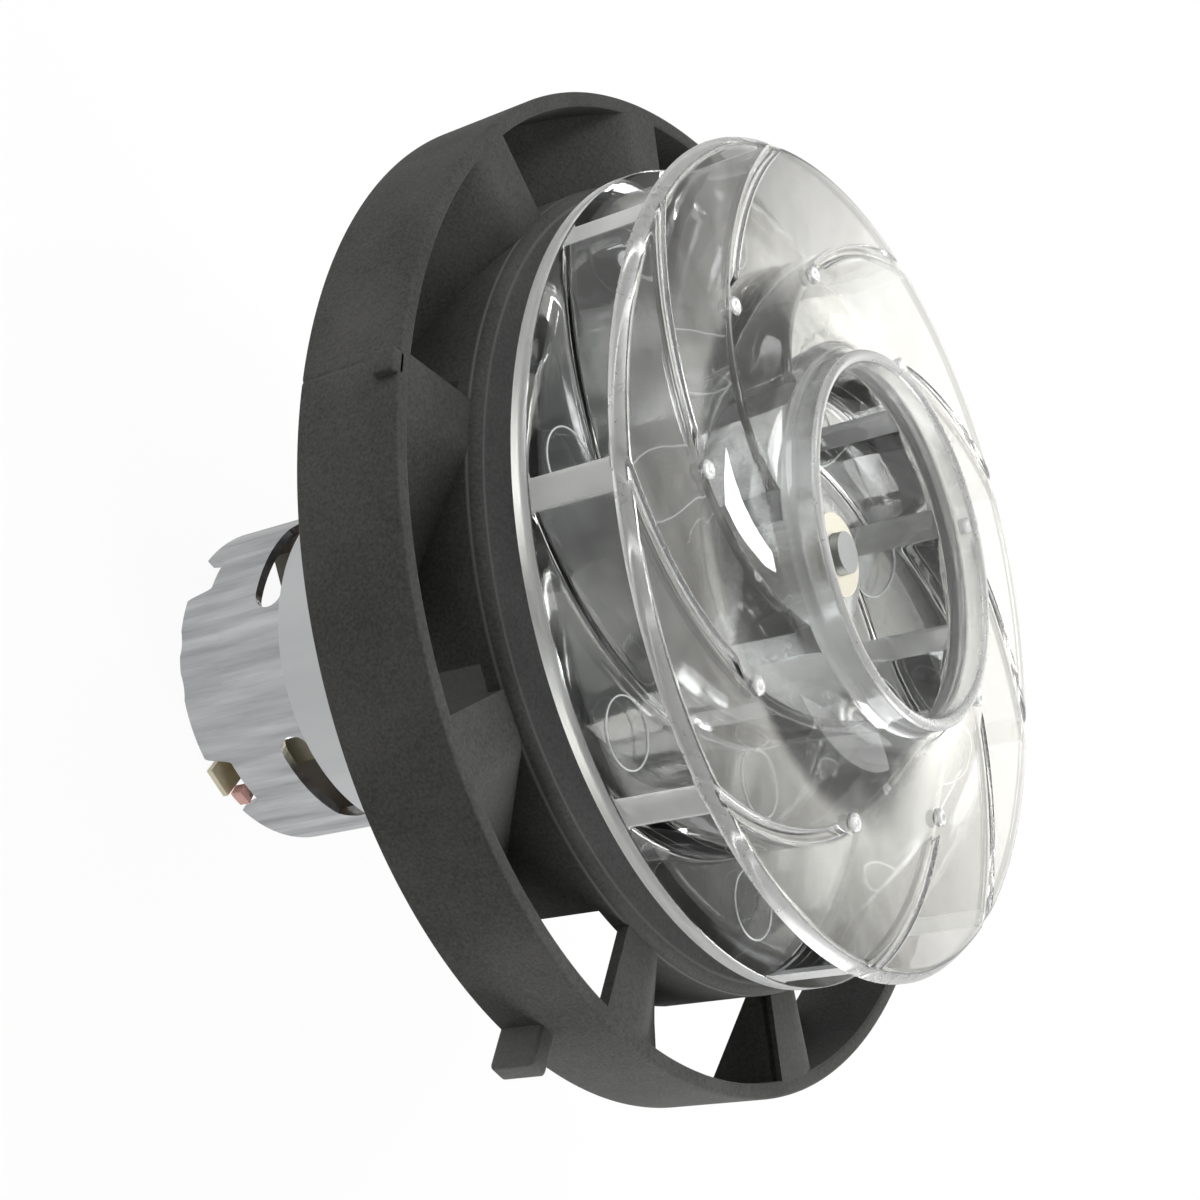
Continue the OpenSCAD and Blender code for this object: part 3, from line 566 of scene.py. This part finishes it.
# Impeller back plate and blades
# Clear polycarbonate, moulded in one piece: a thin round plate with a hub and
# nine curved blades that stand on it, with small radii at their roots.
plate_rear = 17.9
plate_thickness = 2.0
plate_radius = 48.4
tip_inset = 0.3
passage_height = 10.1
hub_radius = 9.0
hub_draft = 1.0
hub_height = 8.0
hub_rear = 16.2
bush_radius = 5.05
blade_count = 9
blade_thickness = 1.5
blade_curve = 39.3
blade_centre = 22.1
blade_clock = 37.9
blade_lead = 21.0
root_radius = 0.35
neck_radius = 34.0
neck_rise = 4.4
eye_radius = 20.6
blade_play = 0.05
plate_edge = 0.12
hub_step = 0.4
inner_rows = (12.0, 16.0, 19.0)
rear_rows = (44.0, 32.0, 20.0)
row_gap = 0.6
tip_frost = 0.8
lead_frost = 0.45
rim_frost = 0.65
under_eye_frost = 0.5


def neck_height(radius, end_radius):
    """Rise of the shroud above its flat: zero outside the neck, then a quarter
    ellipse that stands upright at the end radius."""
    run = np.clip((neck_radius - radius) / (neck_radius - end_radius), 0, 1)
    return neck_rise * (1 - np.sqrt(1 - run ** 2))


def blade_turn(radius, offset):
    """Angle, from the middle of the blade's curve, at which a curve parallel to
    the blade and an offset away from it crosses a radius, by the cosine rule."""
    inmost = 18.0
    safe = np.maximum(radius, inmost)
    curve = blade_curve + offset
    cosine = (safe ** 2 + blade_centre ** 2 - curve ** 2) / (2 * safe * blade_centre)
    return np.arccos(np.clip(cosine, -1, 1))


def swept_angles(radius, offsets, filling):
    """Angles of a grid whose columns follow the blades: at each radius, the
    given offsets beside every blade, then even steps across to the next one."""
    pitch = 2 * math.pi / blade_count
    beside = blade_turn(radius[:, None], offsets[None, :]) + math.radians(blade_clock)
    step = np.linspace(0, 1, filling + 2)[1:-1][None, :]
    gap_start, gap_end = beside[:, -1:], beside[:, :1] + pitch
    across = gap_start + (gap_end - gap_start) * step
    one = np.concatenate([beside, across], axis=1)
    return (one[:, None, :] + pitch * np.arange(blade_count)[None, :, None]).reshape(len(radius), -1)


def beside_blades(values, filling):
    """Values for the columns beside one blade and zeros across to the next, for
    every blade in turn."""
    return np.tile(np.concatenate([values, np.zeros(filling)]), blade_count)


def swept_surface(radius, height, angles):
    """Closed ring-shaped surface from a radius per row, a height per point and
    the swept angles, joined end to end in both directions."""
    points = np.stack([radius[:, None] * np.cos(angles), radius[:, None] * np.sin(angles), height], axis=-1)
    rows, columns = angles.shape
    return points.reshape(-1, 3), grid_quads(rows, columns, True, True)


def clear_polycarbonate():
    """Clear polycarbonate: bright and colourless, with faint flow marks from the
    mould, a few dull rubbed patches, and edges that are frosted white."""
    flow = 9.0
    rub = 22.0
    streak = 1.2
    material, tree, shader = new_material("clear_polycarbonate", IOR=1.58)
    shader.inputs["Base Color"].default_value = linear("#f4f5f5")
    place = add(tree, "ShaderNodeTexCoord").outputs["Object"]
    rubbed = add(tree, "ShaderNodeTexNoise", {"Vector": place, "Scale": 1 / (rub * mm), "Detail": 6.0})
    haze = add(tree, "ShaderNodeMapRange", {
        "Value": rubbed.outputs["Fac"], "From Min": 0.45, "From Max": 0.8, "To Min": 0.02, "To Max": 0.1})
    frost = add(tree, "ShaderNodeAttribute", attribute_name="frost").outputs["Fac"]
    scratched = add(tree, "ShaderNodeTexNoise", {"Vector": place, "Scale": 1 / (streak * mm), "Detail": 3.0})
    patchy = add(tree, "ShaderNodeMapRange", {
        "Value": scratched.outputs["Fac"], "From Min": 0.3, "From Max": 0.7, "To Min": 0.82, "To Max": 1.0})
    edge = add(tree, "ShaderNodeMath", {
        0: frost, 1: patchy.outputs["Result"]}, operation="MULTIPLY").outputs[0]
    dull = add(tree, "ShaderNodeMapRange", {
        "Value": edge, "To Min": haze.outputs["Result"], "To Max": 0.5})
    tree.links.new(dull.outputs["Result"], shader.inputs["Roughness"])
    clear = add(tree, "ShaderNodeMapRange", {"Value": edge, "To Min": 1.0, "To Max": 0.4})
    tree.links.new(clear.outputs["Result"], shader.inputs["Transmission Weight"])
    marks = add(tree, "ShaderNodeTexNoise", {"Vector": place, "Scale": 1 / (flow * mm), "Detail": 2.0})
    bump = add(tree, "ShaderNodeBump", {
        "Height": marks.outputs["Fac"], "Strength": 0.12, "Distance": 0.3 * mm})
    tree.links.new(bump.outputs["Normal"], shader.inputs["Normal"])
    path = add(tree, "ShaderNodeLightPath")
    lit = add(tree, "ShaderNodeMath", {
        0: path.outputs["Is Shadow Ray"], 1: path.outputs["Is Diffuse Ray"]}, operation="MAXIMUM").outputs[0]
    passing = add(tree, "ShaderNodeBsdfTransparent", {"Color": linear("#e2e3e3")})
    mixed = add(tree, "ShaderNodeMixShader", {
        "Fac": lit, 1: shader.outputs["BSDF"], 2: passing.outputs["BSDF"]})
    tree.links.new(mixed.outputs["Shader"], tree.nodes["Material Output"].inputs["Surface"])
    return material


polycarbonate = clear_polycarbonate()
plate_front = plate_rear + plate_thickness
shroud_rear = plate_front + passage_height
blade_tip = plate_radius - tip_inset

# This height stands for a blade's top, which follows the shroud
full_height = 99.0
half_blade = blade_thickness / 2
root_offset = root_radius * np.array([1, 0.42, 0.09, 0])
root_height = root_offset[::-1]
top_inset = np.array([0, 0.06, 0.2])
top_below = top_inset[::-1]
side_offset = np.concatenate([half_blade + root_offset, half_blade - top_inset])
side_limit = np.concatenate([root_height, full_height - top_below])
column_offset = np.concatenate([-side_offset, [0], side_offset[::-1]])
column_limit = np.concatenate([side_limit, [full_height], side_limit[::-1]])
filling = 18

hub_top = plate_front + hub_height
hub_foot = 0.25 * root_radius
hub_rows = [
    (bush_radius, hub_top), (hub_radius - hub_draft - plate_edge, hub_top),
    (hub_radius - hub_draft, hub_top - plate_edge), (hub_radius, plate_front + root_radius),
    (hub_radius + hub_foot, plate_front + hub_foot), (hub_radius + root_radius, plate_front)]
hub_rows += [(radius, plate_front) for radius in inner_rows]
lead_radius = np.concatenate([blade_lead - root_offset, blade_lead + top_inset])
span_radius = np.linspace(blade_lead + row_gap, blade_tip - row_gap, 48)
tip_radius = np.concatenate([blade_tip - top_below, [blade_tip]])
tip_limit = np.concatenate([full_height - top_inset, [0]])
rim_rows = [
    (plate_radius - plate_edge, plate_front), (plate_radius - plate_edge / 4, plate_front - plate_edge),
    (plate_radius, plate_rear + plate_edge), (plate_radius - plate_edge, plate_rear)]
rim_rows += [(radius, plate_rear) for radius in rear_rows]
rim_rows += [
    (hub_radius + hub_step, plate_rear), (hub_radius - hub_draft, hub_rear), (bush_radius, hub_rear)]

row_radius = np.concatenate([
    [r for r, z in hub_rows], lead_radius, span_radius, tip_radius, [r for r, z in rim_rows]])
row_height = np.concatenate([
    [z for r, z in hub_rows], np.full(len(lead_radius) + len(span_radius) + len(tip_radius), plate_front),
    [z for r, z in rim_rows]])
row_limit = np.concatenate([
    np.zeros(len(hub_rows)), side_limit, np.full(len(span_radius), full_height), tip_limit,
    np.zeros(len(rim_rows))])
blade_top = shroud_rear + neck_height(row_radius, eye_radius) - blade_play - plate_front
blade_limit = beside_blades(column_limit, filling)[None, :]
limits = np.minimum(row_limit[:, None], blade_limit)
below_top = np.where(limits > full_height / 2, full_height - limits, 0)
lift = np.where(limits > full_height / 2, blade_top[:, None] - below_top, limits)
plate_angles = swept_angles(row_radius, column_offset, filling)
first_lead = len(hub_rows) + len(root_offset) - 1
first_tip = len(hub_rows) + len(lead_radius) + len(span_radius)
row_order = np.arange(len(row_radius))
on_lead = (row_order >= first_lead) & (row_order <= first_lead + 1)
on_tip = (row_order >= first_tip + 1) & (row_order < first_tip + len(tip_radius))
on_rim = (row_radius > plate_radius - plate_edge / 2) & (row_order >= first_tip + len(tip_radius))
under_eye = np.where(row_radius < blade_lead - 1, under_eye_frost, 0.0)
blade_frost = np.where(on_tip, tip_frost, np.where(on_lead, lead_frost, 0.0))
plate_frost = np.maximum(
    blade_frost[:, None] * (blade_limit > 0), np.where(on_rim, rim_frost, under_eye)[:, None])
plate = piece(
    "impeller_plate_and_blades", swept_surface(row_radius, row_height[:, None] + lift, plate_angles),
    polycarbonate, "rotor", sharp=50.0, frost=plate_frost)
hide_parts("impeller_disc")

# Impeller shroud
# The clear front plate, moulded with the collar of the inlet eye. A shallow
# groove runs over each blade and stops short of the neck.
shroud_thickness = 1.5
shroud_radius = 49.0
shroud_edge = 0.1
rim_slope = 0.9
rim_bevel = (0.08, 0.25)
neck_gap = 0.4
eye_wall = 1.4
eye_height = 6.8
groove_half = 0.65
groove_depth = 0.35
groove_lead = 35.3
groove_foot = 0.7
groove_slope = 0.12
collar_start = 0.8
lip_frost = 0.6
inner_collar_frost = 0.45
outer_collar_frost = 0.12
groove_frost = 0.5

shroud_front = shroud_rear + shroud_thickness
eye_front = shroud_front + eye_height
eye_outer = eye_radius + eye_wall
lip = eye_wall / 2
groove_offset = np.array([-1.1, -0.8, -0.68, -0.6, -0.35, 0, 0.35, 0.6, 0.68, 0.8, 1.1])
groove_fill = np.clip((groove_foot - np.abs(groove_offset)) / groove_slope, 0, 1)
neck_turn = np.linspace(0, math.pi / 2, 33)
lip_turn = np.linspace(0, math.pi, 13)
under_flat = np.linspace(shroud_radius - 2 * shroud_edge, neck_radius + 2 * neck_gap, 10)
under_neck = neck_radius - (neck_radius - eye_radius) * np.sin(neck_turn)
lip_radius = eye_radius + lip * (1 - np.cos(lip_turn))
over_neck = (neck_radius - (neck_radius - eye_outer) * np.sin(neck_turn))[::-1]
groove_turn = np.linspace(0, math.pi / 2, 5)
over_flat = np.concatenate([
    [neck_radius + neck_gap, groove_lead - groove_half - shroud_edge],
    groove_lead - groove_half * np.cos(groove_turn),
    np.linspace(groove_lead + row_gap, shroud_radius - rim_slope - row_gap / 2, 24)])
shroud_rim = np.array([
    (shroud_radius - rim_slope, shroud_front - shroud_edge),
    (shroud_radius - rim_bevel[0], shroud_rear + rim_bevel[1]),
    (shroud_radius, shroud_rear + shroud_edge)])
shroud_row_radius = np.concatenate([
    under_flat, under_neck, lip_radius, over_neck, over_flat, shroud_rim[:, 0]])
shroud_row_height = np.concatenate([
    np.full(len(under_flat), shroud_rear), shroud_rear + neck_rise * (1 - np.cos(neck_turn)),
    eye_front - lip + lip * np.sin(lip_turn), (shroud_front + neck_rise * (1 - np.cos(neck_turn)))[::-1],
    np.full(len(over_flat), shroud_front), shroud_rim[:, 1]])
first_over = len(under_flat) + len(under_neck) + len(lip_radius) + len(over_neck)
row_number = np.arange(len(shroud_row_radius))
groove_row = np.clip((shroud_row_radius - groove_lead + groove_half) / groove_half, 0, 1)
on_front = (row_number >= first_over) & (row_number < len(row_number) - 1)
groove_row = (np.sqrt(1 - (1 - groove_row) ** 2) * on_front)[:, None]
groove_column = beside_blades(groove_fill, filling)[None, :]
shroud_height = shroud_row_height[:, None] - groove_depth * groove_row * groove_column
shroud_angles = swept_angles(shroud_row_radius, groove_offset, filling)
on_edge = (row_number >= len(row_number) - len(shroud_rim)) | (shroud_row_height > eye_front - lip)
on_collar = shroud_row_height > shroud_rear + collar_start * neck_rise
inside = row_number < len(under_flat) + len(under_neck)
collar_frost = np.where(inside, inner_collar_frost, outer_collar_frost)
edge_frost = np.where(on_edge, lip_frost, np.where(on_collar, collar_frost, 0.0))
groove_wall = (groove_column > 0) & (groove_column < 1)
shroud_frost = np.maximum(edge_frost[:, None], groove_frost * (groove_row > 0.1) * groove_wall)
shroud = piece(
    "impeller_shroud_clear", swept_surface(shroud_row_radius, shroud_height, shroud_angles),
    polycarbonate, "rotor", sharp=50.0, frost=shroud_frost)
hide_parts("impeller_shroud")

# Stakes and ejector marks
# Melted heads of the stakes that hold the shroud down, one on each blade, and
# the raised rings that ejector pins leave on the back plate.
stake_radius = 33.0
stake_head = 1.1
stake_height = 0.45
stake_round = 0.1
stake_gap = 0.03
stake_frost = 0.4
mark_size = 3.9
mark_ridge = 0.09
mark_rings = ((41.0, -155.0), (27.5, 2.1))
mark_frost = 0.8


def stake_heads():
    """Round head with a dimple in its middle: a profile turned about an upright
    line at each stake's place."""
    around = 24
    profile = np.array([
        (0.02, 0.28), (0.3, 0.3), (0.6, 0.58), (0.9, 0.6),
        (1.2, 0.42), (1.3, 0.15), (1.25, 0.0), (0.02, 0.0)])
    profile = profile / profile.max(axis=0) * (stake_head, stake_height)
    outline = softened(profile, stake_round, steps=2)
    place = math.radians(blade_clock) + blade_turn(np.array(stake_radius), 0.0)
    place = (place + 2 * math.pi / blade_count * np.arange(blade_count))[:, None, None]
    turn = np.linspace(0, 2 * math.pi, around, endpoint=False)[None, :, None]
    reach, rise = outline[None, None, :, 0], outline[None, None, :, 1]
    base = shroud_front + neck_height(np.array(stake_radius - stake_head), eye_outer) + stake_gap
    x = stake_radius * np.cos(place) + reach * np.cos(turn)
    y = stake_radius * np.sin(place) + reach * np.sin(turn)
    z = np.broadcast_to(base + rise, x.shape)
    points = np.stack([x, y, z], axis=-1).reshape(blade_count, -1, 3)
    faces = grid_quads(around, len(outline), True, True)
    return joined([(points[i], faces) for i in range(blade_count)])


def ejector_marks(ring_at, first):
    """Thin rings, each a small circle carried round a larger one, that stand on
    the plate at even angles, a hair above its face."""
    around, across = 40, 8
    rise = 1.05
    place = math.radians(first) + 2 * math.pi / blade_count * np.arange(blade_count)[:, None, None]
    turn = np.linspace(0, 2 * math.pi, around, endpoint=False)[None, :, None]
    ridge = np.linspace(0, 2 * math.pi, across, endpoint=False)[None, None, :]
    reach = mark_size + mark_ridge * np.cos(ridge)
    x = ring_at * np.cos(place) + reach * np.cos(turn)
    y = ring_at * np.sin(place) + reach * np.sin(turn)
    z = np.broadcast_to(plate_front + mark_ridge * (rise + np.sin(ridge)), x.shape)
    points = np.stack([x, y, z], axis=-1).reshape(blade_count, -1, 3)
    faces = grid_quads(around, across, True, True)
    return joined([(points[i], faces) for i in range(blade_count)])


stake_points, stake_faces = stake_heads()
piece("impeller_stake_heads", (stake_points, stake_faces), polycarbonate, "rotor",
      frost=np.full(len(stake_points), stake_frost))
mark_points, mark_faces = joined([ejector_marks(*ring_of) for ring_of in mark_rings])
piece("impeller_ejector_marks", (mark_points, mark_faces), polycarbonate, "rotor",
      frost=np.full(len(mark_points), mark_frost))

# Floor, light and camera
# A plain white sweep under five soft boxes, and a pale board behind the object;
# the camera has the photograph's angle and its long lens.
visual_box = [list(corner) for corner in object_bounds()]
floor_level = visual_box[0][2]
floor_half = 4.0
shade_left = 0.06
glow_through = 0.27
glow_in_metal = 0.58

floor_mesh = bpy.data.meshes.new("floor")
floor_corner = np.array([(-1, -1), (1, -1), (1, 1), (-1, 1)]) * floor_half
floor_mesh.from_pydata([(x, y, floor_level) for x, y in floor_corner.tolist()], [], [(0, 1, 2, 3)])
floor = bpy.data.objects.new("floor", floor_mesh)
bpy.context.scene.collection.objects.link(floor)
floor_material = bpy.data.materials.new("white_paper")
floor_material.use_nodes = True
floor_tree = floor_material.node_tree
paper = floor_tree.nodes["Principled BSDF"]
paper.inputs["Base Color"].default_value = linear("#f4f4f4")
paper.inputs["Roughness"].default_value = 0.9
path = add(floor_tree, "ShaderNodeLightPath")
bounced = add(floor_tree, "ShaderNodeMath", {
    0: path.outputs["Is Glossy Ray"], 1: path.outputs["Is Transmission Ray"]}, operation="MAXIMUM").outputs[0]
seen = add(floor_tree, "ShaderNodeMath", {
    0: path.outputs["Is Camera Ray"], 1: bounced}, operation="MAXIMUM").outputs[0]
dimmed = add(floor_tree, "ShaderNodeMapRange", {
    "Value": path.outputs["Is Transmission Ray"],
    "To Min": glow_in_metal, "To Max": glow_through}).outputs["Result"]
brightness = add(floor_tree, "ShaderNodeMapRange", {
    "Value": path.outputs["Is Camera Ray"], "To Min": dimmed, "To Max": 1.0}).outputs["Result"]
glow = add(floor_tree, "ShaderNodeEmission", {"Color": linear("#ffffff"), "Strength": brightness})
share = add(floor_tree, "ShaderNodeMath", {0: seen, 1: 1 - shade_left}, operation="MULTIPLY")
blend = add(floor_tree, "ShaderNodeMixShader", {
    "Fac": share.outputs[0], 1: paper.outputs["BSDF"], 2: glow.outputs["Emission"]})
floor_tree.links.new(blend.outputs["Shader"], floor_tree.nodes["Material Output"].inputs["Surface"])
floor_mesh.materials.append(floor_material)

ambient = 0.3
board_glow = 2.7
board_azimuth = 134.5
board_elevation = 10.0
board_half = math.radians(12.0)
board_fade = math.radians(22.0)


def toward(azimuth, elevation):
    """Unit vector from the object toward an azimuth, counted in degrees from the
    front, and an elevation in degrees."""
    a, e = math.radians(azimuth), math.radians(elevation)
    return Vector((math.sin(a) * math.cos(e), -math.cos(a) * math.cos(e), math.sin(e)))


world = bpy.data.worlds.new("studio")
bpy.context.scene.world = world
world.use_nodes = True
sky_tree = world.node_tree
sky = sky_tree.nodes["Background"]
way = add(sky_tree, "ShaderNodeTexCoord").outputs["Generated"]
nearness = add(sky_tree, "ShaderNodeVectorMath", {
    0: way, 1: toward(board_azimuth, board_elevation)}, operation="DOT_PRODUCT").outputs["Value"]
board = add(sky_tree, "ShaderNodeMapRange", {
    "Value": nearness, "From Min": math.cos(board_fade), "From Max": math.cos(board_half)},
    interpolation_type="SMOOTHSTEP").outputs["Result"]
studio = add(sky_tree, "ShaderNodeMapRange", {
    "Value": board, "To Min": ambient, "To Max": ambient + board_glow})
direct = add(sky_tree, "ShaderNodeLightPath").outputs["Is Camera Ray"]
sky_strength = add(sky_tree, "ShaderNodeMapRange", {
    "Value": direct, "To Min": studio.outputs["Result"], "To Max": 1.0})
sky_tree.links.new(sky_strength.outputs["Result"], sky.inputs["Strength"])
sky_colour = add(sky_tree, "ShaderNodeValToRGB", {"Fac": direct})
for stop, colour in zip(sky_colour.color_ramp.elements, ("#fffdf6", "#ffffff")):
    stop.color = linear(colour)
sky_tree.links.new(sky_colour.outputs["Color"], sky.inputs["Color"])


def soft_box(name, azimuth, elevation, distance, width, height, watts):
    """A rectangular soft box, in metres, that faces the object from an azimuth, an
    elevation and a distance."""
    away = toward(azimuth, elevation)
    lamp = bpy.data.lights.new(name, "AREA")
    lamp.shape = "RECTANGLE"
    lamp.size = width
    lamp.size_y = height
    lamp.energy = watts
    box = bpy.data.objects.new(name, lamp)
    bpy.context.scene.collection.objects.link(box)
    box.location = away * distance
    box.rotation_mode = "QUATERNION"
    box.rotation_quaternion = (-away).to_track_quat("-Z", "Y")


soft_box("overhead_box", 146.0, 62.0, 0.9, width=0.07, height=0.6, watts=2.6)
soft_box("right_box", 96.0, 40.0, 1.1, width=0.5, height=0.5, watts=1.4)
soft_box("back_box", -140.0, 52.0, 1.1, width=0.4, height=0.4, watts=4.5)
soft_box("side_box", -100.0, 20.0, 1.0, width=0.5, height=0.5, watts=2.7)
soft_box("front_box", 62.0, 12.0, 1.1, width=0.5, height=0.5, watts=12.5)

camera_target = Vector((-1.95, -0.26, -2.48)) * mm
camera_azimuth = -42.77
camera_elevation = 31.44
camera_roll = math.radians(76.61)
camera_distance = 257.6 * mm
camera_lens = 63.23
camera_back = toward(camera_azimuth, camera_elevation)
camera_data = bpy.data.cameras.new("photo_camera")
camera_data.lens = camera_lens
camera_data.sensor_width = 36.0
camera_data.clip_start = 0.01
camera_data.clip_end = 20.0
camera = bpy.data.objects.new("photo_camera", camera_data)
bpy.context.scene.collection.objects.link(camera)
upright = (-camera_back).to_track_quat("-Z", "Y").to_matrix()
camera.matrix_world = Matrix.Translation(camera_target + camera_back * camera_distance) @ (
    upright @ Matrix.Rotation(camera_roll, 3, "Z")).to_4x4()
bpy.context.scene.camera = camera
bpy.context.scene.view_settings.view_transform = "Standard"
